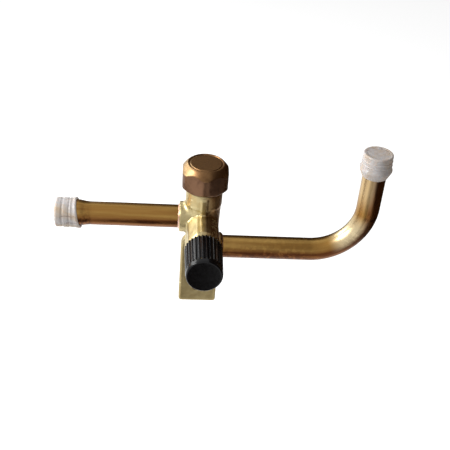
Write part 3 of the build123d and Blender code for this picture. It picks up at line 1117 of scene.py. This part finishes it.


# %% [markdown]
# ## Forged brass
# Fresh forged brass is pale yellow with a satin skin. It is mottled by the die, a little
# browner in patches where scale stays, and brighter where edges rub. The right side of the
# body is painted darker brown as shade, fading in across the valve and broken up by a
# stain. The mounting tongue below is darker and duller towards the bottom.

# %% Forged brass
def forged_brass():
    tree, shader = new_finish("forged_brass", Metallic=1.0)
    spot = object_place(tree)
    skin = use_group(tree, forged_skin, {"Vector": spot, "Scale": 1.0})
    worn = rubbed(tree, spot, 0.53)
    dull = stained(tree, spot, 130.0, 0.5, 0.2)
    right_shade_breakup = stained(tree, spot, 110.0, 0.38, 0.2)
    mottle = remap(tree, skin["Mottle"], 0.35, 0.68, 0, 1)
    colour = blend_colour(tree, mottle, paint(168, 153, 112), paint(190, 176, 134))
    colour = blend_colour(tree, times(tree, dull, 0.4), colour, paint(174, 142, 84))
    # Painted shade: the right side of the body is darkened brown, fading in across X and
    # broken up by a stain.
    across = remap(tree, axis_value(tree, spot, "X"), -0.0022, 0.004, 0, 0.85)
    upper = remap(tree, axis_value(tree, spot, "Z"), 0.016, 0.022, 0, 1)
    painted_right_shade = times(tree, times(tree, across, upper), remap(tree, right_shade_breakup, 0, 1, 0.7, 1))
    colour = blend_colour(tree, painted_right_shade, colour, paint(134, 94, 52))
    tongue = remap(tree, axis_value(tree, spot, "Z"), 0.012, 0.02, 0.6, 0)
    colour = blend_colour(tree, tongue, colour, paint(140, 122, 82))
    colour = blend_colour(tree, times(tree, worn, 0.6), colour, paint(238, 228, 184))
    dress(tree, shader, colour, remap(tree, skin["Mottle"], 0.3, 0.7, 0.38, 0.46))
    relief(tree, shader, skin["Height"], 0.016)


forged_brass()

# %% [markdown]
# ## Tarnished cap brass
# The hexagon cap has been handled and heated, so its skin has gone brown, with fine lathe
# rings. How far a point faces up tells flats, dome and crown apart, and each is a little
# lighter than the one below. Warm gold comes through on rubbed edges. The left side of the
# dome is painted lighter, as a highlight where the lamp falls.

# %% Cap brass
def cap_brass():
    tree, shader = new_finish("cap_brass", Metallic=1.0)
    spot = made_place(tree)
    rings = use_group(tree, lathe_rings, {"Vector": spot, "Pitch": 0.00022})["Height"]
    worn = rubbed(tree, spot, 0.515)
    brown = stained(tree, spot, 160.0, 0.42, 0.25)
    skin = use_group(tree, forged_skin, {"Vector": spot, "Scale": 1.3})
    slope = axis_value(tree, node(tree, "NewGeometry").outputs["Normal"], "Z")
    dome = remap(tree, slope, 0.06, 0.2, 0, 1)
    top = remap(tree, slope, 0.95, 0.99, 0, 1)
    side = blend_colour(tree, brown, paint(110, 82, 62), paint(88, 63, 47))
    turned = blend_colour(tree, brown, paint(118, 88, 58), paint(98, 71, 46))
    crown = blend_colour(tree, brown, paint(136, 102, 66), paint(108, 80, 52))
    colour = blend_colour(tree, dome, side, turned)
    colour = blend_colour(tree, top, colour, crown)
    colour = blend_colour(tree, times(tree, worn, 0.55), colour, paint(196, 158, 104))
    # Painted highlight: the left side of the dome is made lighter where the lamp falls on it.
    left_side = remap(tree, axis_value(tree, spot, "X"), -0.0076, -0.0034, 0.6, 0)
    painted_dome_light = times(tree, math_node(tree, "SUBTRACT", dome, top), left_side)
    colour = blend_colour(tree, painted_dome_light, colour, paint(184, 156, 114))
    dress(tree, shader, colour, remap(tree, brown, 0, 1, 0.40, 0.50))
    both = math_node(
        tree, "ADD", times(tree, rings, 0.35), times(tree, skin["Height"], 0.65))
    relief(tree, shader, both, 0.02)


cap_brass()

# %% [markdown]
# ## Tarnished tube
# Drawn tube left in the air turns golden brown, streaked along its length. Flux and
# heat leave dark runs along one side and burnt patches near the joints and the swage.
# Pale patches are painted as highlights on the inner side of the bend and on the left of
# the upright. The tone follows the unrolled tube, so it runs round the bend as well.

# %% Tube finish
def tube_finish(name, down, burns=(), painted_highlights=()):
    """Tarnish and painted highlights for one tube. Down is the axis and sign of its lower side
    in the making. Each burn and painted highlight is (distance along the tube, reach,
    strength), in millimetres."""
    tree, shader = new_finish(name, Metallic=1.0)
    spot = made_place(tree)
    streak = use_group(tree, drawn_streaks, {"Vector": spot, "Length": 0.05})
    runs = squeezed(tree, spot, (1.0, 1.0, 0.2))
    dark = stained(tree, runs, 330.0, 0.41, 0.14)
    warm = stained(tree, runs, 120.0, 0.42, 0.24)
    burnt = stained(tree, spot, 480.0, 0.42, 0.10)
    axis, sign = down
    low = times(tree, axis_value(tree, spot, axis), sign)
    under = remap(tree, low, -0.0028, 0.0002, 0, 1)
    strip = times(
        tree, remap(tree, low, -0.0012, -0.0002, 0, 1), remap(tree, low, 0.001, 0.0022, 1, 0))
    tone = remap(tree, streak["Tone"], 0.35, 0.65, 0, 1)
    colour = blend_colour(tree, tone, paint(164, 130, 72), paint(142, 106, 54))
    reddened = math_node(
        tree, "MAXIMUM", times(tree, warm, 0.35), times(tree, under, 0.8))
    colour = blend_colour(tree, reddened, colour, paint(114, 66, 34))
    run = times(tree, remap(tree, dark, 0, 1, 0.2, 1), times(tree, strip, 0.85))
    colour = blend_colour(tree, run, colour, paint(78, 42, 22))
    along = axis_value(tree, spot, "Z")

    def near(mark, even_share, fade):
        """Mask round a mark along the tube, that fades across its lower side."""
        distance, reach, strength = mark
        off = distance_from(tree, along, distance * MM)
        ring = remap(tree, off, even_share * reach * MM, reach * MM, strength, 0)
        return times(tree, ring, remap(tree, low, *fade))

    # Painted highlights: pale patches on the inner side of the bend and on the left of the
    # upright.
    for highlight in painted_highlights:
        pale = near(highlight, 0.2, (-0.0018, 0.0016, 1, 0))
        colour = blend_colour(tree, pale, colour, paint(226, 208, 168))
    for burn in burns:
        dark = times(tree, near(burn, 0.3, (-0.004, 0.0026, 0.15, 1)), burnt)
        colour = blend_colour(tree, dark, colour, paint(62, 34, 18))
    dress(tree, shader, colour, remap(tree, streak["Tone"], 0.3, 0.7, 0.28, 0.38))
    relief(tree, shader, streak["Height"], 0.008)


tube_finish("left_tube_brass", ("X", -1.0), burns=[(47.4, 3.4, 0.9), (12.0, 3.0, 0.3)])
tube_finish(
    "bent_tube_brass", ("Y", 1.0),
    burns=[(76.6, 1.2, 0.95), (10.0, 3.5, 0.5), (66.0, 9.0, 0.5), (30.0, 24.0, 0.8)],
    painted_highlights=[(66.0, 12.0, 0.9), (92.0, 14.0, 0.35)])
tube_finish("copper_tube", ("X", -1.0))

# %% [markdown]
# ## Braze metal, plastics and small parts
# Braze filler is a bright pinkish silver. The black plastic is glossy with a faint
# orange-peel surface. The dust caps are milky, with a little subsurface light and tan
# patches, and the left one has two short cracks. The inner parts are simple turned
# brass, wire, rubber and a white sealing plastic, each with its own fine grain.

# %% Braze metal
def braze_metal():
    tree, shader = new_finish("braze_metal", Metallic=1.0)
    spot = made_place(tree)
    skin = use_group(tree, forged_skin, {"Vector": spot, "Scale": 0.8})
    colour = mottled(tree, skin, paint(232, 196, 176), paint(206, 160, 132))
    dress(tree, shader, colour, remap(tree, skin["Mottle"], 0.3, 0.7, 0.24, 0.42))
    relief(tree, shader, skin["Mottle"], 0.05)


braze_metal()

# %% Black plastic
def black_plastic():
    tree, shader = new_finish("black_plastic", IOR=1.46, Specular_IOR_Level=0.25)
    spot = made_place(tree)
    peel = noise_value(tree, spot, 900.0, 2.0)
    scuff = stained(tree, spot, 420.0, 0.58, 0.15)
    colour = blend_colour(tree, scuff, paint(8, 8, 10), paint(18, 18, 22))
    dress(tree, shader, colour, remap(tree, peel, 0.3, 0.7, 0.17, 0.24))
    relief(tree, shader, peel, 0.004)


black_plastic()

# %% Polyethylene
# height, start and end on the left cap, in millimetres
CRACKS = ((1.7, 51.6, 56.2), (-1.4, 50.6, 54.4))


def white_polyethylene():
    tree, shader = new_finish(
        "white_polyethylene", Subsurface_Weight=0.25,
        Subsurface_Radius=(0.0022, 0.0016, 0.0013), Subsurface_Scale=1.0)
    spot = made_place(tree)
    flat = squeezed(tree, spot, (1.0, 1.0, 0.6))
    patch = stained(tree, flat, 150.0, 0.39, 0.32)
    hollow = node(tree, "NewGeometry").outputs["Pointiness"]
    colour = blend_colour(tree, patch, paint(194, 188, 186), paint(188, 165, 138))
    # Painted shade in the grooves and painted highlights on the ridges, both found by
    # pointiness.
    groove_shade = remap(tree, hollow, 0.45, 0.498, 0.8, 0)
    ridge_highlight = remap(tree, hollow, 0.505, 0.56, 0, 0.5)
    colour = blend_colour(tree, groove_shade, colour, paint(122, 104, 92))
    colour = blend_colour(tree, ridge_highlight, colour, paint(232, 228, 226))
    parts = node(tree, "SeparateXYZ", {0: spot}).outputs
    waver = noise_value(tree, spot, 500.0, 2.0)
    facing_front = remap(tree, parts["Y"], -0.004, -0.003, 1, 0)
    for height, start, end in CRACKS:
        level = math_node(tree, "ADD", parts["X"], times(tree, waver, 1.2 * MM))
        off = distance_from(tree, level, (height + 0.6) * MM)
        line = times(tree, remap(tree, off, 0.05 * MM, 0.26 * MM, 0.75, 0), facing_front)
        begun = remap(tree, parts["Z"], (start - 0.5) * MM, start * MM, 0, 1)
        line = times(tree, line, begun)
        ended = remap(tree, parts["Z"], end * MM, (end + 0.5) * MM, 1, 0)
        line = times(tree, line, ended)
        colour = blend_colour(tree, line, colour, paint(120, 96, 86))
    dress(tree, shader, colour, remap(tree, patch, 0, 1, 0.42, 0.54))
    fine = noise_value(tree, spot, 700.0, 3.0)
    relief(tree, shader, fine, 0.04)


white_polyethylene()

# %% Inner parts
def turned_metal(name, first, second, rough, depth):
    tree, shader = new_finish(name, Metallic=1.0)
    spot = object_place(tree)
    skin = use_group(tree, forged_skin, {"Vector": spot, "Scale": 1.6})
    colour = mottled(tree, skin, first, second)
    dress(tree, shader, colour, remap(tree, skin["Mottle"], 0.3, 0.7, rough, rough + 0.1))
    relief(tree, shader, skin["Height"], depth)


def moulded_seal(name, first, second, rough):
    tree, shader = new_finish(name)
    spot = object_place(tree)
    grain = noise_value(tree, spot, 1800.0, 3.0)
    roughness = remap(tree, grain, 0.3, 0.7, rough, rough + 0.12)
    dress(tree, shader, blend_colour(tree, grain, first, second), roughness)
    relief(tree, shader, grain, 0.01)


turned_metal("stem_brass", paint(206, 178, 112), paint(190, 158, 92), 0.24, 0.01)
turned_metal("washer_copper", paint(205, 140, 110), paint(184, 118, 88), 0.34, 0.015)
turned_metal("spring_steel", paint(176, 174, 170), paint(150, 148, 146), 0.26, 0.008)
moulded_seal("seal_rubber", paint(26, 26, 27), paint(38, 37, 37), 0.5)
moulded_seal("seal_ptfe", paint(236, 235, 230), paint(224, 222, 216), 0.34)

# %% [markdown]
# ## Dress every part
# The record names the finish of each solid part. The new pieces take the same finishes,
# but each visible tube has one of its own, with its marks where that tube has them.
# Solid parts that a new piece replaces stay hidden, but they are dressed too.

# %% Dress every part
finish_of = {part["node"]: part["material_slot"] for part in frame["record"]["subparts"]}
for name, slot in finish_of.items():
    mesh = nodes[name].data
    mesh.materials.clear()
    mesh.materials.append(finishes[slot])

own_finish = {swaged_tube: "left_tube_brass", bent_tube: "bent_tube_brass"}
for piece, slot in pieces.items():
    piece.data.materials.append(finishes[own_finish.get(piece, slot)])
print("finishes:", sorted(finishes))
